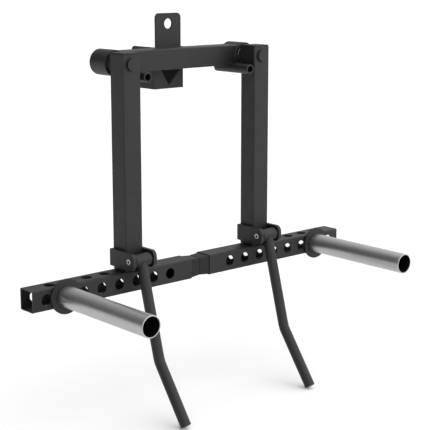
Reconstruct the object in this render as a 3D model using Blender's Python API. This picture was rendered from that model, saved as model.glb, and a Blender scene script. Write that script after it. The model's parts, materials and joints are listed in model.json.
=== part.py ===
"""Twin swing-arm rack attachment: two plate-loaded arms that hang side by side from a rack bracket.

X runs along the crossbar, -Y is the front, +Z is up. The origin is on the face that lies against
the rack upright, midway between the arms and level with their pivots. Everything is in metres.
"""
import math

import bmesh
import bpy
from mathutils import Matrix, Vector

GAP = 0.0003                      # clearance between touching pieces

# Perforated crossbar, made of two halves that meet at X = 0
CROSSBAR_Y = -0.1023
CROSSBAR_Z = -0.5205
TUBE_SIZE = 0.0516
TUBE_WALL = 0.003
TUBE_CORNER = 0.0035
CROSSBAR_INNER_X = 0.0298
CROSSBAR_OUTER_X = 0.5005
HOLE_RADIUS = 0.0135
HOLE_PITCH = 0.052
FIRST_HOLE_X = 0.0995
FRONT_HOLES = 8
FIRST_TOP_HOLE_X = 0.2815
TOP_HOLES = 4
NOSE_TIP = 0.0440
NOSE_BASE = 0.0484
NOSE_STUB_END_X = 0.052

# Swing arms and their pivots
ARM_X = 0.2085
ARM_Y = -0.1008
ARM_TOP_Z = 0.0240
ARM_CAP_HEIGHT = 0.003
ARM_CAP_PLUG = 0.0045
PIVOT_Z = 0.0
SHAFT_RADIUS = 0.010
SHAFT_BORE = 0.0103
SHAFT_HEAD_RADIUS = 0.0155
SHAFT_HEAD_THICKNESS = 0.0058
HOUSING_RADIUS = 0.0313
HOUSING_BORE = 0.0225
HOUSING_FRONT_Y = -0.0618
HOUSING_BACK_Y = -0.0003
BEARING_LENGTH = 0.012
BEARING_INSET = 0.0010
SPACER_RADIUS = 0.024
SPACER_HUB_RADIUS = 0.0155
SPACER_CLEARANCE = 0.001
NUT_RADIUS = 0.017
NUT_THICKNESS = 0.010

# Top beam, stop pegs and rack bracket
BEAM_FRONT_Y = -0.0579
PEG_X = 0.1645
PEG_Z = -0.0315
PEG_RADIUS = 0.01225
PEG_BORE = 0.00835
PEG_FRONT_Y = -0.1313
PEG_BACK_Y = -0.0043
PLATE_THICKNESS = 0.006
BRACKET_WIDTH = 0.094
BRACKET_BOTTOM_Z = -0.0783
BRACKET_TOP_Z = 0.0262
BRACKET_BACK_Y = 0.0857
SIDE_PLATE_THICKNESS = 0.005
TAB_WIDTH = 0.080
TAB_TOP_Z = 0.1100
TAB_CORNER = 0.012
TAB_HOLE_Z = 0.0838
TAB_HOLE_RADIUS = 0.013
NOTCH = ((0.0010, -0.0715), (0.0415, -0.0290), (-0.0260, -0.0290))

# Weight sleeves
SLEEVE_HOLE = 6                   # index of the crossbar hole the sleeve sits over
SLEEVE_RADIUS = 0.0254
SLEEVE_BORE = 0.0228
SLEEVE_END_Y = -0.4478
FLANGE_RADIUS = 0.042
FLANGE_THICKNESS = 0.006

# Handle clevises and the bent handle bars
HINGE_Y = -0.1523
HINGE_Z = -0.4630
CLEVIS_FRONT_Y = -0.1685
CLEVIS_BACK_Y = -0.0744
CLEVIS_TOP_Z = -0.4425
CLEVIS_BOTTOM_Z = -0.4849
CLEVIS_FRONT_CORNER = 0.015
CLEVIS_BACK_CORNER = 0.003
CLEVIS_THICKNESS = 0.0095
BARREL_RADIUS = 0.015
BARREL_BORE = 0.0065
BARREL_HALF_LENGTH = 0.0230
WASHER_RADIUS = 0.0135
WASHER_THICKNESS = 0.0016
BOLT_RADIUS = 0.006
BOLT_HEAD_RADIUS = 0.0068
BOLT_HEAD_HEIGHT = 0.0030
BOLT_SOCKET_RADIUS = 0.0035
BOLT_SOCKET_DEPTH = 0.0055
BOLT_NUT_RADIUS = 0.0100
BOLT_NUT_THICKNESS = 0.0070
BAR_RADIUS = 0.0133
BAR_BEND = (-0.2183, -0.7000)      # Y, Z where the two straight runs of the bar would meet
BAR_END = (-0.3168, -0.8365)
BAR_BEND_RADIUS = 0.060
STOP_BLOCK = (0.024, 0.0171, 0.010)
STOP_BLOCK_FRONT_Y = -0.1440
STOP_BLOCK_Z = -0.4890


def make_material(name, color, roughness, metallic):
    """Principled material with one colour, roughness and metallic value."""
    material = bpy.data.materials.new(name)
    material.use_nodes = True
    shader = material.node_tree.nodes["Principled BSDF"]
    shader.inputs["Base Color"].default_value = (*color, 1.0)
    shader.inputs["Roughness"].default_value = roughness
    shader.inputs["Metallic"].default_value = metallic
    material.diffuse_color = (*color, 1.0)
    return material


def make_materials():
    """The finishes of the object, by name."""
    return {
        "black_powder_coat": make_material("black_powder_coat", (0.035, 0.035, 0.037), 0.45, 0.0),
        "black_rubber": make_material("black_rubber", (0.018, 0.018, 0.019), 0.65, 0.0),
        "bright_steel": make_material("bright_steel", (0.62, 0.62, 0.61), 0.28, 1.0),
        "zinc_hardware": make_material("zinc_hardware", (0.60, 0.60, 0.59), 0.32, 1.0),
        "bearing_steel": make_material("bearing_steel", (0.50, 0.50, 0.50), 0.35, 1.0),
    }


def add_object(name, bm, material, location=(0.0, 0.0, 0.0), smooth_angle=None):
    """Link the built mesh as a named object and free the bmesh."""
    bmesh.ops.recalc_face_normals(bm, faces=bm.faces)
    mesh = bpy.data.meshes.new(name)
    bm.to_mesh(mesh)
    bm.free()
    mesh.materials.append(material)
    if smooth_angle is not None:
        mesh.shade_smooth()
        mesh.set_sharp_from_angle(angle=math.radians(smooth_angle))
    obj = bpy.data.objects.new(name, mesh)
    obj.location = location
    bpy.context.scene.collection.objects.link(obj)
    return obj


def rounded_rectangle(width, height, radius, segments=3):
    """Outline of a rectangle with round corners, counter-clockwise, centred on the origin."""
    points = []
    for corner, (u, v) in enumerate(((1, 1), (-1, 1), (-1, -1), (1, -1))):
        center = (u * (width / 2 - radius), v * (height / 2 - radius))
        points += arc(center, radius, 90 * corner, 90 * corner + 90, segments)
    return points


def circle(radius, segments, center=(0.0, 0.0)):
    """Outline of a circle, counter-clockwise."""
    return [(center[0] + radius * math.cos(2 * math.pi * i / segments),
             center[1] + radius * math.sin(2 * math.pi * i / segments)) for i in range(segments)]


def arc(center, radius, start, end, steps):
    """Points of an arc from one angle to another, in degrees."""
    angles = [math.radians(start + (end - start) * step / steps) for step in range(steps + 1)]
    return [(center[0] + radius * math.cos(a), center[1] + radius * math.sin(a)) for a in angles]


def along(axis, u, v, distance):
    """Point at distance along an axis, with u and v across it."""
    return {"X": (distance, u, v), "Y": (u, distance, v), "Z": (u, v, distance)}[axis]


def add_prism(bm, outline, axis, start, end):
    """Solid with a constant outline, from start to end along an axis."""
    loops = [[bm.verts.new(along(axis, u, v, distance)) for u, v in outline] for distance in (start, end)]
    count = len(outline)
    for i in range(count):
        j = (i + 1) % count
        bm.faces.new((loops[0][i], loops[0][j], loops[1][j], loops[1][i]))
    bm.faces.new(loops[0][::-1])
    bm.faces.new(loops[1])


def add_tube(bm, outer, inner, axis, start, end):
    """Open-ended hollow section between two outlines that have the same number of points."""
    rings = [[bm.verts.new(along(axis, u, v, distance)) for u, v in outline]
             for outline, distance in ((outer, start), (outer, end), (inner, end), (inner, start))]
    count = len(outer)
    for k in range(4):
        a, b = rings[k], rings[(k + 1) % 4]
        for i in range(count):
            j = (i + 1) % count
            bm.faces.new((a[i], a[j], b[j], b[i]))


def add_turned(bm, profile, axis, segments):
    """Turned ring: a closed (radius, distance) profile swept around an axis."""
    rings = []
    for i in range(segments):
        angle = 2 * math.pi * i / segments
        rings.append([bm.verts.new(along(axis, r * math.cos(angle), r * math.sin(angle), d))
                      for r, d in profile])
    for i in range(segments):
        a, b = rings[i], rings[(i + 1) % segments]
        for k in range(len(profile)):
            m = (k + 1) % len(profile)
            bm.faces.new((a[k], a[m], b[m], b[k]))


def add_turned_solid(bm, profile, axis, segments):
    """Turned solid: (radius, distance) profile from end to end, closed by flat faces."""
    rings = []
    for radius, distance in profile:
        rings.append([bm.verts.new(along(axis, u, v, distance)) for u, v in circle(radius, segments)])
    for a, b in zip(rings, rings[1:]):
        for i in range(segments):
            j = (i + 1) % segments
            bm.faces.new((a[i], a[j], b[j], b[i]))
    bm.faces.new(rings[0][::-1])
    bm.faces.new(rings[-1])


def cut_away(obj, cutter_meshes):
    """Subtract closed solids, given in the object's own axes, and keep the plain result."""
    for bm in cutter_meshes:
        cutter = add_object("cutter", bm, obj.data.materials[0], obj.location)
        bpy.context.view_layer.update()
        modifier = obj.modifiers.new("cut", "BOOLEAN")
        modifier.operation = "DIFFERENCE"
        modifier.solver = "EXACT"
        modifier.object = cutter
        bpy.context.view_layer.update()
        evaluated = obj.evaluated_get(bpy.context.evaluated_depsgraph_get())
        result = bpy.data.meshes.new_from_object(evaluated)
        obj.modifiers.clear()
        old = obj.data
        obj.data = result
        result.name = obj.name
        bpy.data.meshes.remove(old)
        cutter_mesh = cutter.data
        bpy.data.objects.remove(cutter)
        bpy.data.meshes.remove(cutter_mesh)


def cylinder_cutter(axis, radius, center, start, end, segments=16):
    """Cylinder along an axis, as a solid to cut with."""
    bm = bmesh.new()
    add_prism(bm, circle(radius, segments, center), axis, start, end)
    return bm


def square_tube(name, axis, start, end, material, location):
    """Length of the square tube that the frame and the arms are made of."""
    bm = bmesh.new()
    inner_size = TUBE_SIZE - 2 * TUBE_WALL
    add_tube(bm, rounded_rectangle(TUBE_SIZE, TUBE_SIZE, TUBE_CORNER),
             rounded_rectangle(inner_size, inner_size, TUBE_CORNER - TUBE_WALL), axis, start, end)
    return add_object(name, bm, material, location, smooth_angle=40)


def make_beam(materials):
    """Top beam, with its ends shaped to the housings and its underside let in for the pegs."""
    beam_y = BEAM_FRONT_Y + TUBE_SIZE / 2
    beam = square_tube("top_beam", "X", -ARM_X, ARM_X, materials["black_powder_coat"],
                       (0.0, beam_y, PIVOT_Z))
    cutters = []
    for side in (-1, 1):
        cutters.append(cylinder_cutter("Y", HOUSING_RADIUS + GAP, (side * ARM_X, 0.0), -0.04, 0.04, 36))
        peg_seat = (side * PEG_X, PEG_Z - PIVOT_Z)
        cutters.append(cylinder_cutter("Y", PEG_RADIUS + GAP, peg_seat, -0.04, 0.04, 24))
    cut_away(beam, cutters)
    return beam


def spine_outline():
    """Outline of the spine plate: a wide lower part and a narrower tab with round top corners."""
    half, tab = BRACKET_WIDTH / 2, TAB_WIDTH / 2
    reach, height = tab - TAB_CORNER, TAB_TOP_Z - TAB_CORNER
    points = [(-half, BRACKET_BOTTOM_Z), (half, BRACKET_BOTTOM_Z), (half, BRACKET_TOP_Z),
              (tab, BRACKET_TOP_Z)]
    points += arc((reach, height), TAB_CORNER, 0, 90, 4) + arc((-reach, height), TAB_CORNER, 90, 180, 4)
    return points + [(-tab, BRACKET_TOP_Z), (-half, BRACKET_TOP_Z)]


def make_bracket(materials):
    """Spine plate with its tab hole and notch, and the two side plates behind it."""
    coat = materials["black_powder_coat"]
    front = BEAM_FRONT_Y + TUBE_SIZE + GAP
    bm = bmesh.new()
    add_prism(bm, spine_outline(), "Y", front, front + PLATE_THICKNESS)
    spine = add_object("bracket_spine_plate", bm, coat, smooth_angle=30)
    notch = bmesh.new()
    add_prism(notch, NOTCH, "Y", -0.05, 0.05)
    cut_away(spine, [cylinder_cutter("Y", TAB_HOLE_RADIUS, (0.0, TAB_HOLE_Z), -0.05, 0.05, 32), notch])

    start, corner = front + PLATE_THICKNESS + GAP, 0.010
    outline = [(start, BRACKET_BOTTOM_Z), (BRACKET_BACK_Y, BRACKET_BOTTOM_Z)]
    outline += arc((BRACKET_BACK_Y - corner, BRACKET_TOP_Z - corner), corner, 0, 90, 4)
    outline.append((start, BRACKET_TOP_Z))
    for side, label in ((-1, "left"), (1, "right")):
        outer = side * BRACKET_WIDTH / 2
        bm = bmesh.new()
        add_prism(bm, outline, "X", outer - side * SIDE_PLATE_THICKNESS, outer)
        add_object(f"bracket_{label}_side_plate", bm, coat, smooth_angle=30)


def make_pivot_mount(side, label, materials):
    """Pivot housing with its two bearings, and the stop peg beside it."""
    coat, steel = materials["black_powder_coat"], materials["bearing_steel"]
    pivot = (side * ARM_X, 0.0, PIVOT_Z)
    bm = bmesh.new()
    add_tube(bm, circle(HOUSING_RADIUS, 36), circle(HOUSING_BORE, 36), "Y", HOUSING_FRONT_Y, HOUSING_BACK_Y)
    add_object(f"{label}_pivot_housing", bm, coat, pivot, smooth_angle=30)
    starts = {"front": HOUSING_FRONT_Y + BEARING_INSET,
              "rear": HOUSING_BACK_Y - BEARING_INSET - BEARING_LENGTH}
    for place, start in starts.items():
        bm = bmesh.new()
        end = start + BEARING_LENGTH
        add_tube(bm, circle(HOUSING_BORE - GAP, 32), circle(SHAFT_BORE, 32), "Y", start, end)
        add_object(f"{label}_{place}_bearing", bm, steel, pivot, smooth_angle=30)
    bm = bmesh.new()
    add_tube(bm, circle(PEG_RADIUS, 24), circle(PEG_BORE, 24), "Y", PEG_FRONT_Y, PEG_BACK_Y)
    add_object(f"{label}_stop_peg", bm, coat, (side * PEG_X, 0.0, PEG_Z), smooth_angle=30)


def make_pivot_shaft(side, label, materials):
    """Shaft that turns with the arm, the spacer behind the arm and the nut behind the housing."""
    coat = materials["black_powder_coat"]
    pivot = (side * ARM_X, 0.0, PIVOT_Z)
    arm_front = ARM_Y - TUBE_SIZE / 2
    arm_back = ARM_Y + TUBE_SIZE / 2
    head_back = arm_front - GAP
    head_front = head_back - SHAFT_HEAD_THICKNESS
    shaft_end = HOUSING_BACK_Y + NUT_THICKNESS + 0.003
    bm = bmesh.new()
    chamfer = 0.0012
    add_turned_solid(bm, [(SHAFT_HEAD_RADIUS - chamfer, head_front),
                          (SHAFT_HEAD_RADIUS, head_front + chamfer), (SHAFT_HEAD_RADIUS, head_back),
                          (SHAFT_RADIUS, head_back), (SHAFT_RADIUS, shaft_end)], "Y", 28)
    shaft = add_object(f"{label}_pivot_shaft", bm, coat, pivot, smooth_angle=35)
    bm = bmesh.new()
    spacer_front, collar_back = arm_back + GAP, HOUSING_FRONT_Y - SPACER_CLEARANCE
    hub_back = HOUSING_FRONT_Y + BEARING_INSET - GAP
    add_turned(bm, [(SHAFT_BORE, spacer_front), (SPACER_RADIUS, spacer_front), (SPACER_RADIUS, collar_back),
                    (SPACER_HUB_RADIUS, collar_back), (SPACER_HUB_RADIUS, hub_back),
                    (SHAFT_BORE, hub_back)], "Y", 32)
    spacer = add_object(f"{label}_pivot_spacer", bm, coat, pivot, smooth_angle=35)
    bm = bmesh.new()
    add_prism(bm, circle(NUT_RADIUS, 6), "Y", HOUSING_BACK_Y + GAP, HOUSING_BACK_Y + GAP + NUT_THICKNESS)
    nut = add_object(f"{label}_pivot_nut", bm, materials["zinc_hardware"], pivot)
    cut_away(nut, [cylinder_cutter("Y", SHAFT_BORE, (0.0, 0.0), -0.02, 0.03, 24)])
    return [shaft, spacer, nut]


def make_arm(side, label, materials):
    """Vertical arm tube, drilled for the pivot shaft, and the cap in its top."""
    base_z = CROSSBAR_Z + TUBE_SIZE / 2 + GAP
    arm = square_tube(f"{label}_arm_tube", "Z", base_z, ARM_TOP_Z, materials["black_powder_coat"],
                      (side * ARM_X, ARM_Y, 0.0))
    cut_away(arm, [cylinder_cutter("Y", SHAFT_BORE, (0.0, PIVOT_Z), -0.04, 0.04, 28)])
    cap_size, plug_size = TUBE_SIZE - 0.002, TUBE_SIZE - 2 * TUBE_WALL - 2 * GAP
    plug_corner = TUBE_CORNER - TUBE_WALL
    bm = bmesh.new()
    stacked_solid(bm, "Z", [(plug_size, plug_corner, ARM_TOP_Z + GAP - ARM_CAP_PLUG),
                            (plug_size, plug_corner, ARM_TOP_Z + GAP),
                            (cap_size, 0.003, ARM_TOP_Z + GAP),
                            (cap_size, 0.003, ARM_TOP_Z + GAP + ARM_CAP_HEIGHT)])
    cap = add_object(f"{label}_arm_cap", bm, materials["black_rubber"], (side * ARM_X, ARM_Y, 0.0),
                     smooth_angle=40)
    return [arm, cap]


def stacked_solid(bm, axis, sections):
    """Solid through square sections given as (size, corner radius, distance)."""
    rings = []
    for size, corner, distance in sections:
        rings.append([bm.verts.new(along(axis, u, v, distance))
                      for u, v in rounded_rectangle(size, size, corner, 2)])
    count = len(rings[0])
    for a, b in zip(rings, rings[1:]):
        for i in range(count):
            j = (i + 1) % count
            bm.faces.new((a[i], a[j], b[j], b[i]))
    bm.faces.new(rings[0][::-1])
    bm.faces.new(rings[-1])


def make_crossbar_half(side, label, materials):
    """Perforated tube with rows of holes through the front and the top, and its tapered nose."""
    half = square_tube(f"{label}_crossbar_half", "X", side * CROSSBAR_INNER_X, side * CROSSBAR_OUTER_X,
                       materials["black_powder_coat"], (0.0, CROSSBAR_Y, CROSSBAR_Z))
    cutters = []
    for k in range(FRONT_HOLES):
        x = side * (FIRST_HOLE_X + k * HOLE_PITCH)
        cutters.append(cylinder_cutter("Y", HOLE_RADIUS, (x, 0.0), -0.04, 0.04))
    for k in range(TOP_HOLES):
        x = side * (FIRST_TOP_HOLE_X + k * HOLE_PITCH)
        cutters.append(cylinder_cutter("Z", HOLE_RADIUS, (x, 0.0), -0.04, 0.04))
    cut_away(half, cutters)
    stub = TUBE_SIZE - 2 * TUBE_WALL - 2 * GAP
    bm = bmesh.new()
    stacked_solid(bm, "X", [(NOSE_TIP, 0.003, side * GAP),
                            (NOSE_BASE, 0.003, side * (CROSSBAR_INNER_X - GAP)),
                            (stub, 0.0010, side * (CROSSBAR_INNER_X - GAP)),
                            (stub, 0.0010, side * NOSE_STUB_END_X)])
    nose = add_object(f"{label}_nose", bm, materials["black_rubber"], (0.0, CROSSBAR_Y, CROSSBAR_Z),
                      smooth_angle=40)
    return [half, nose]


def make_sleeve(side, label, materials):
    """Weight sleeve and the flange ring about its root, both welded to the front of the crossbar."""
    x = side * (FIRST_HOLE_X + SLEEVE_HOLE * HOLE_PITCH)
    front = CROSSBAR_Y - TUBE_SIZE / 2
    root = front - GAP
    flange_front = root - FLANGE_THICKNESS
    flange_bore = SLEEVE_RADIUS + GAP
    chamfer = 0.001
    bm = bmesh.new()
    add_turned(bm, [(flange_bore, root), (flange_bore, flange_front),
                    (FLANGE_RADIUS - chamfer, flange_front), (FLANGE_RADIUS, flange_front + chamfer),
                    (FLANGE_RADIUS, root)], "Y", 36)
    flange = add_object(f"{label}_sleeve_flange", bm, materials["black_powder_coat"], (x, 0.0, CROSSBAR_Z),
                        smooth_angle=35)
    bm = bmesh.new()
    chamfer = 0.0008
    add_turned(bm, [(SLEEVE_RADIUS, root), (SLEEVE_RADIUS, SLEEVE_END_Y + chamfer),
                    (SLEEVE_RADIUS - chamfer, SLEEVE_END_Y), (SLEEVE_BORE + chamfer, SLEEVE_END_Y),
                    (SLEEVE_BORE, SLEEVE_END_Y + chamfer), (SLEEVE_BORE, root)], "Y", 32)
    tube = add_object(f"{label}_weight_sleeve", bm, materials["bright_steel"], (x, 0.0, CROSSBAR_Z),
                      smooth_angle=35)
    return [flange, tube]


def clevis_outline():
    """Side view of a clevis plate: large round corners at the front, small ones at the back."""
    front, back = CLEVIS_FRONT_Y + CLEVIS_FRONT_CORNER, CLEVIS_BACK_Y - CLEVIS_BACK_CORNER
    points = arc((back, CLEVIS_BOTTOM_Z + CLEVIS_BACK_CORNER), CLEVIS_BACK_CORNER, 270, 360, 3)
    points += arc((back, CLEVIS_TOP_Z - CLEVIS_BACK_CORNER), CLEVIS_BACK_CORNER, 0, 90, 3)
    points += arc((front, CLEVIS_TOP_Z - CLEVIS_FRONT_CORNER), CLEVIS_FRONT_CORNER, 90, 180, 7)
    return points + arc((front, CLEVIS_BOTTOM_Z + CLEVIS_FRONT_CORNER), CLEVIS_FRONT_CORNER, 180, 270, 7)


def make_clevis(side, label, materials):
    """Two clevis plates beside the arm's foot, the hinge bolt with its washer and nut, and the stop.

    Both hinge bolts point the same way, not mirrored: the head is on the -X side.
    """
    coat, zinc = materials["black_powder_coat"], materials["zinc_hardware"]
    near = TUBE_SIZE / 2 + GAP
    far = near + CLEVIS_THICKNESS
    made = []
    for place, direction in (("outer", side), ("inner", -side)):
        bm = bmesh.new()
        add_prism(bm, clevis_outline(), "X", direction * near, direction * far)
        plate = add_object(f"{label}_{place}_clevis_plate", bm, coat, (side * ARM_X, 0.0, 0.0),
                           smooth_angle=30)
        cut_away(plate, [cylinder_cutter("X", BOLT_RADIUS + GAP, (HINGE_Y, HINGE_Z), -0.05, 0.05, 24)])
        made.append(plate)

    hinge = (side * ARM_X, HINGE_Y, HINGE_Z)
    bm = bmesh.new()
    washer_near, washer_far = far + GAP, far + GAP + WASHER_THICKNESS
    add_tube(bm, circle(WASHER_RADIUS, 28), circle(BOLT_RADIUS + GAP, 28), "X", washer_near, washer_far)
    made.append(add_object(f"{label}_hinge_washer", bm, coat, hinge, smooth_angle=35))

    head_near, head_far = far + GAP, far + GAP + BOLT_HEAD_HEIGHT
    nut_near, nut_far = washer_far + GAP, washer_far + GAP + BOLT_NUT_THICKNESS
    bm = bmesh.new()
    add_turned_solid(bm, [(BOLT_RADIUS, nut_far + 0.002), (BOLT_RADIUS, -head_near),
                          (BOLT_HEAD_RADIUS, -head_near), (BOLT_HEAD_RADIUS, 0.0008 - head_far),
                          (BOLT_HEAD_RADIUS - 0.0008, -head_far), (BOLT_SOCKET_RADIUS, -head_far),
                          (BOLT_SOCKET_RADIUS, BOLT_SOCKET_DEPTH - head_far)], "X", 24)
    made.append(add_object(f"{label}_hinge_bolt", bm, zinc, hinge, smooth_angle=35))

    bm = bmesh.new()
    add_prism(bm, circle(BOLT_NUT_RADIUS, 6), "X", nut_near, nut_far)
    nut = add_object(f"{label}_hinge_nut", bm, zinc, hinge)
    cut_away(nut, [cylinder_cutter("X", BOLT_RADIUS + GAP, (0.0, 0.0), -0.06, 0.06, 24)])
    made.append(nut)

    width, depth, height = STOP_BLOCK
    bm = bmesh.new()
    bmesh.ops.create_cube(bm, size=1.0, matrix=Matrix.Diagonal((width, depth, height, 1.0)))
    bmesh.ops.bevel(bm, geom=bm.edges[:], offset=0.0008, segments=1, affect="EDGES")
    made.append(add_object(f"{label}_handle_stop", bm, coat,
                           (side * ARM_X, STOP_BLOCK_FRONT_Y + depth / 2, STOP_BLOCK_Z)))
    return made


def bar_path():
    """Centre line of the handle bar below the hinge: straight, one round bend, straight."""
    hinge = Vector((0.0, 0.0))
    bend = Vector(BAR_BEND) - Vector((HINGE_Y, HINGE_Z))
    end = Vector(BAR_END) - Vector((HINGE_Y, HINGE_Z))
    upper, lower = (bend - hinge).normalized(), (end - bend).normalized()
    turn = upper.angle(lower)
    trim = BAR_BEND_RADIUS * math.tan(turn / 2)
    start_of_bend = bend - upper * trim
    inward = Vector((upper.y, -upper.x))
    if inward.dot(lower) < 0:
        inward = -inward
    points, headings = [hinge + upper * 0.006], [upper]
    steps = 6
    for step in range(steps + 1):
        angle = turn * step / steps
        points.append(start_of_bend + upper * (BAR_BEND_RADIUS * math.sin(angle))
                      + inward * (BAR_BEND_RADIUS * (1 - math.cos(angle))))
        headings.append(upper * math.cos(angle) + inward * math.sin(angle))
    points += [end - lower * 0.0015, end]
    headings += [lower, lower]
    return points, headings


def make_handle(side, label, materials):
    """Hinge barrel between the clevis plates and the bent bar that hangs from it."""
    coat = materials["black_powder_coat"]
    hinge = (side * ARM_X, HINGE_Y, HINGE_Z)
    bm = bmesh.new()
    add_tube(bm, circle(BARREL_RADIUS, 28), circle(BARREL_BORE, 28), "X",
             -BARREL_HALF_LENGTH, BARREL_HALF_LENGTH)
    barrel = add_object(f"{label}_handle_barrel", bm, coat, hinge, smooth_angle=35)

    points, headings = bar_path()
    segments = 20
    bm = bmesh.new()
    rings = []
    for index, (point, heading) in enumerate(zip(points, headings)):
        radius = BAR_RADIUS - (0.0015 if index == len(points) - 1 else 0.0)
        across = Vector((heading.y, -heading.x))
        ring = []
        for k in range(segments):
            angle = 2 * math.pi * k / segments
            offset = across * (radius * math.sin(angle))
            ring.append(bm.verts.new((radius * math.cos(angle), point.x + offset.x, point.y + offset.y)))
        rings.append(ring)
    for a, b in zip(rings, rings[1:]):
        for k in range(segments):
            m = (k + 1) % segments
            bm.faces.new((a[k], a[m], b[m], b[k]))
    bm.faces.new(rings[0][::-1])
    bm.faces.new(rings[-1])
    bar = add_object(f"{label}_handle_bar", bm, coat, hinge, smooth_angle=35)
    cut_away(bar, [cylinder_cutter("X", BARREL_RADIUS + GAP, (0.0, 0.0), -0.05, 0.05, 28)])
    return [barrel, bar]


def parent_to_axis(name, location, parts, parent=None):
    """Empty on a joint axis that carries the pieces turning about it."""
    axis = bpy.data.objects.new(name, None)
    axis.location = location
    axis.empty_display_size = 0.05
    bpy.context.scene.collection.objects.link(axis)
    if parent is not None:
        axis.parent = parent
        axis.matrix_parent_inverse = Matrix.Translation(parent.location).inverted()
    for part in parts:
        part.parent = axis
        part.matrix_parent_inverse = Matrix.Translation(location).inverted()
    return axis


def build():
    """Build the fixed frame, then each arm with the handle that hinges on it."""
    for obj in list(bpy.data.objects):
        bpy.data.objects.remove(obj, do_unlink=True)
    materials = make_materials()
    make_beam(materials)
    make_bracket(materials)
    for side, label in ((-1, "left"), (1, "right")):
        make_pivot_mount(side, label, materials)
        arm_parts = make_pivot_shaft(side, label, materials)
        arm_parts += make_arm(side, label, materials)
        arm_parts += make_crossbar_half(side, label, materials)
        arm_parts += make_sleeve(side, label, materials)
        arm_parts += make_clevis(side, label, materials)
        handle_parts = make_handle(side, label, materials)
        pivot = parent_to_axis(f"{label}_arm_axis", (side * ARM_X, 0.0, PIVOT_Z), arm_parts)
        parent_to_axis(f"{label}_handle_axis", (side * ARM_X, HINGE_Y, HINGE_Z), handle_parts, pivot)


build()
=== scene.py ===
"""Looks of the twin swing-arm rack attachment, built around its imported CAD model.

Every piece is modelled in the CAD model's own frame, in metres: X along the crossbar, -Y the front, +Z up.
Places and sizes come from the CAD nodes' boxes; those that a box can't give are named below.
"""
import json
import math

import bmesh
import bpy
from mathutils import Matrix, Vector

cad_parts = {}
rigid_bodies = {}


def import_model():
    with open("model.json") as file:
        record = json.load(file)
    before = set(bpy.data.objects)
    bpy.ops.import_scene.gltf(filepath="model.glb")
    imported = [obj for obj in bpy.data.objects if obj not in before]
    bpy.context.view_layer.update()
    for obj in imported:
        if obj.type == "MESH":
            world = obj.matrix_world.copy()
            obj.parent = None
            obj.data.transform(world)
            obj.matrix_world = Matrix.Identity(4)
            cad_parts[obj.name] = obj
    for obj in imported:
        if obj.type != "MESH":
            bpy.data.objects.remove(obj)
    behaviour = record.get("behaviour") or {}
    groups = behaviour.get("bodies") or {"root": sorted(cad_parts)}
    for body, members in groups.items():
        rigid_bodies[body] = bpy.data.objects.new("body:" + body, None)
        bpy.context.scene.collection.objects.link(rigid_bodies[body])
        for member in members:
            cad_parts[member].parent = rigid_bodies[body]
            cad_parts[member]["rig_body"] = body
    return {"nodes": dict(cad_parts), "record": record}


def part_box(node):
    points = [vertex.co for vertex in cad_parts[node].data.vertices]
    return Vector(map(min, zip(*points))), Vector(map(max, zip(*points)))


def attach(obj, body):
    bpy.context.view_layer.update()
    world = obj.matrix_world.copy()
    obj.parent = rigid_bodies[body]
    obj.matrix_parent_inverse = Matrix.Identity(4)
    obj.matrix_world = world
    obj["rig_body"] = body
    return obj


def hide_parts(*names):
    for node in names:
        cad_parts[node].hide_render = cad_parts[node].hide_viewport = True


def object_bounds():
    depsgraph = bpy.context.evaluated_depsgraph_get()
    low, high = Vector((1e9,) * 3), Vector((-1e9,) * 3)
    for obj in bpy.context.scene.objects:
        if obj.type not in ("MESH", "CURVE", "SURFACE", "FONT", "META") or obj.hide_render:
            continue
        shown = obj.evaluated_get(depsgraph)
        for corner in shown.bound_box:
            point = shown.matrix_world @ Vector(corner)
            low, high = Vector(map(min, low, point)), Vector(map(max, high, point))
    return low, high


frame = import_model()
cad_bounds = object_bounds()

SIDES = ((-1, "left"), (1, "right"))

# Square tube of the arms, the beam and the crossbar
TUBE_WALL = 0.003
TUBE_CORNER = 0.0035
EDGE = 0.0005                     # rounding of sheared, sawn and drilled edges
GAP = 0.0003                      # clearance between parts that touch

# Crossbar holes
HOLE_RADIUS = 0.0135
HOLE_PITCH = 0.052
FIRST_HOLE_X = 0.0995
FRONT_HOLES = 8
FIRST_TOP_HOLE_X = 0.2815
TOP_HOLES = 4
NOSE_TIP = 0.0440
NOSE_BASE = 0.0484

# Rack bracket
TAB_WIDTH = 0.080
TAB_CORNER = 0.012
TAB_HOLE_Z = 0.0838
TAB_HOLE_RADIUS = 0.013
SHOULDER_Z = 0.0262
SIDE_PLATE_CORNER = 0.010
NOTCH = ((0.0010, -0.0715), (0.0415, -0.0290), (-0.0260, -0.0290))
SHADE_SHEET_THICKNESS = 0.0012            # painted shade: very dark sheets inside the channel, set in from the side plates' outline
SHADE_SHEET_MARGIN = 0.004

# Pivots and pegs
HOUSING_BORE = 0.0225
SHAFT_RADIUS = 0.010
SHAFT_HEAD_BACK_Y = -0.1269
SPACER_HUB_RADIUS = 0.0155
SPACER_COLLAR_BACK_Y = -0.0628
PEG_BORE = 0.00835

# Sleeves, hinges and handle bars
SLEEVE_BORE = 0.0228
HINGE_Y = -0.1523
HINGE_Z = -0.4630
CLEVIS_FRONT_CORNER = 0.015
CLEVIS_BACK_CORNER = 0.003
BARREL_BORE = 0.0065
BOLT_RADIUS = 0.006
BOLT_HEAD_RADIUS = 0.0068
BOLT_HEAD_HEIGHT = 0.0030
SOCKET_RADIUS = 0.0046            # to the hexagon's corners
SOCKET_DEPTH = 0.0055
SOCKET_SHADE_RADIUS = 0.0038              # painted shade: radius of a black disc at the bottom of the socket, and its depth under the head's face
SOCKET_SHADE_SINK = 0.0014
THREAD_LENGTH = 0.008
BAR_RADIUS = 0.0133
BAR_BEND = (-0.2183, -0.7000)     # Y, Z where the bar's two straight runs would meet
BAR_END = (-0.3168, -0.8365)
BAR_BEND_RADIUS = 0.060
BAR_END_ROUNDING = ((0.0018, 0.0), (0.0010, 0.0003), (0.0005, 0.0009), (0.0002, 0.0013), (0.0, 0.0018))

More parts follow.
